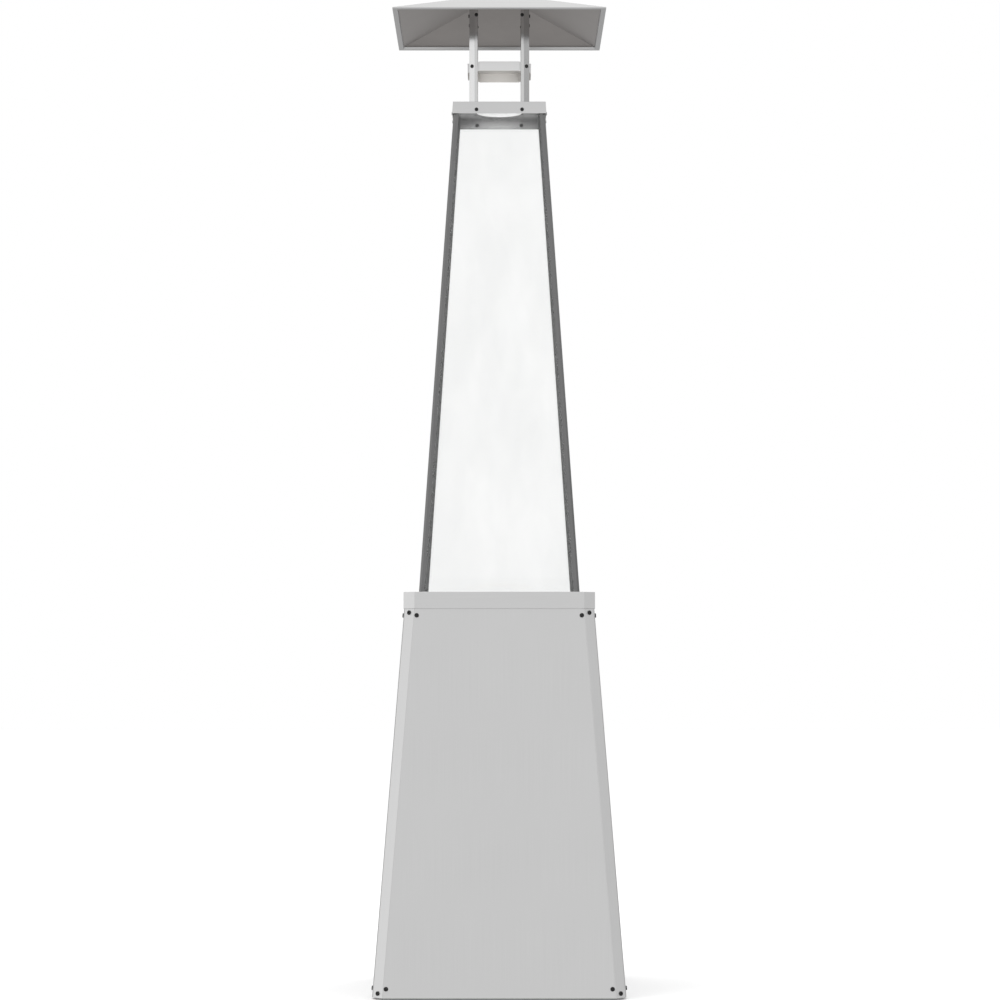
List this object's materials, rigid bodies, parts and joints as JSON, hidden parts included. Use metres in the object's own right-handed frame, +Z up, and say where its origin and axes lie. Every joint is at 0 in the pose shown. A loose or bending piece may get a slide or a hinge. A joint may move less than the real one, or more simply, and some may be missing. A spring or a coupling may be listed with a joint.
{
  "type": "outdoor gas heater",
  "caption": "Standing gas patio heater: tapered square cabinet with a hinged door, glass flame tower on corner posts, flue cap, heat baffle and shallow pyramid hood.",
  "frame": {"origin": "on the floor under the middle of the cabinet", "axes": "+Z up; the service side with the door and controls faces +Y; +X is the side with the door's hinges"},
  "size_m": [0.5554, 0.5554, 2.27],
  "materials": {
    "satin_steel": "satin sheet, light grey",
    "plated_steel": "zinc plated",
    "dark_post": "dark grey, semi-gloss",
    "clear_glass": "clear toughened glass",
    "brass": "machined",
    "copper": "drawn tube",
    "rubber": "moulded",
    "black_plastic": "fine moulded texture",
    "ceramic": "glazed ceramic"
  },
  "bodies": {
    "cabinet": {"bottom_tray": "satin_steel", "corner_column_front_right": "satin_steel", "corner_column_front_left": "satin_steel", "corner_column_rear_left": "satin_steel", "corner_column_rear_right": "satin_steel", "rear_panel": "satin_steel", "left_panel": "satin_steel", "right_panel": "satin_steel", "control_panel": "satin_steel", "front_rail": "satin_steel", "cabinet_lid": "satin_steel", "top_cap": "satin_steel", "flue_collar": "satin_steel", "neck_post_front_right": "satin_steel", "neck_post_front_left": "satin_steel", "neck_post_rear_left": "satin_steel", "neck_post_rear_right": "satin_steel", "heat_baffle": "satin_steel", "hood": "satin_steel", "burner_pan": "satin_steel", "bottle_ring": "plated_steel", "hinge_column_leaf_lower": "plated_steel", "hinge_column_leaf_upper": "plated_steel", "hinge_pin_lower": "plated_steel", "hinge_pin_upper": "plated_steel", "burner_head": "plated_steel", "mixer_tube": "plated_steel", "jet_bracket": "plated_steel", "tall_post_front_right": "dark_post", "tall_post_front_left": "dark_post", "tall_post_rear_left": "dark_post", "tall_post_rear_right": "dark_post", "glass_pane_front": "clear_glass", "glass_pane_left": "clear_glass", "glass_pane_rear": "clear_glass", "glass_pane_right": "clear_glass", "gas_jet": "brass", "valve_body": "brass", "inlet_nipple": "brass", "pilot_burner": "brass", "gas_pipe": "copper", "thermocouple": "copper", "foot_front_right": "rubber", "foot_front_left": "rubber", "foot_rear_left": "rubber", "foot_rear_right": "rubber", "igniter_body": "black_plastic", "tilt_switch": "black_plastic", "ignition_electrode": "ceramic"},
    "door": {"door_panel": "satin_steel", "door_frame": "satin_steel", "hinge_door_leaf_lower": "plated_steel", "hinge_door_leaf_upper": "plated_steel", "latch_barrel": "plated_steel"},
    "latch": {"latch_handle": "black_plastic", "latch_cam": "plated_steel"},
    "knob_slide": {"push_sleeve": "plated_steel"},
    "knob": {"gas_knob": "black_plastic", "valve_spindle": "brass"},
    "igniter_button": {"igniter_button": "black_plastic"}
  },
  "joints": [
    {"name": "door_hinge", "type": "hinge", "parent": "cabinet", "child": "door", "pos_m": [0.22407, 0.25266, 0.38036], "axis": [0.0783, 0.0783, -0.9939], "range_deg": [0, 105]},
    {"name": "latch_turn", "type": "hinge", "parent": "door", "child": "latch", "pos_m": [-0.18292, 0.24492, 0.42], "axis": [0, 0.9969, 0.0785], "range_deg": [0, 90]},
    {"name": "knob_push", "type": "slide", "parent": "cabinet", "child": "knob_slide", "axis": [0, -0.9969, -0.0785], "range_m": [0, 0.003], "stiffness_N_per_m": 2000, "springref_m": -0.001},
    {"name": "knob_turn", "type": "hinge", "parent": "knob_slide", "child": "knob", "pos_m": [0.055, 0.21515, 0.798], "axis": [0, 0.9969, 0.0785], "range_deg": [0, 180]},
    {"name": "igniter_press", "type": "slide", "parent": "cabinet", "child": "igniter_button", "axis": [0, -0.9969, -0.0785], "range_m": [0, 0.006], "stiffness_N_per_m": 1000, "springref_m": -0.001}
  ]
}
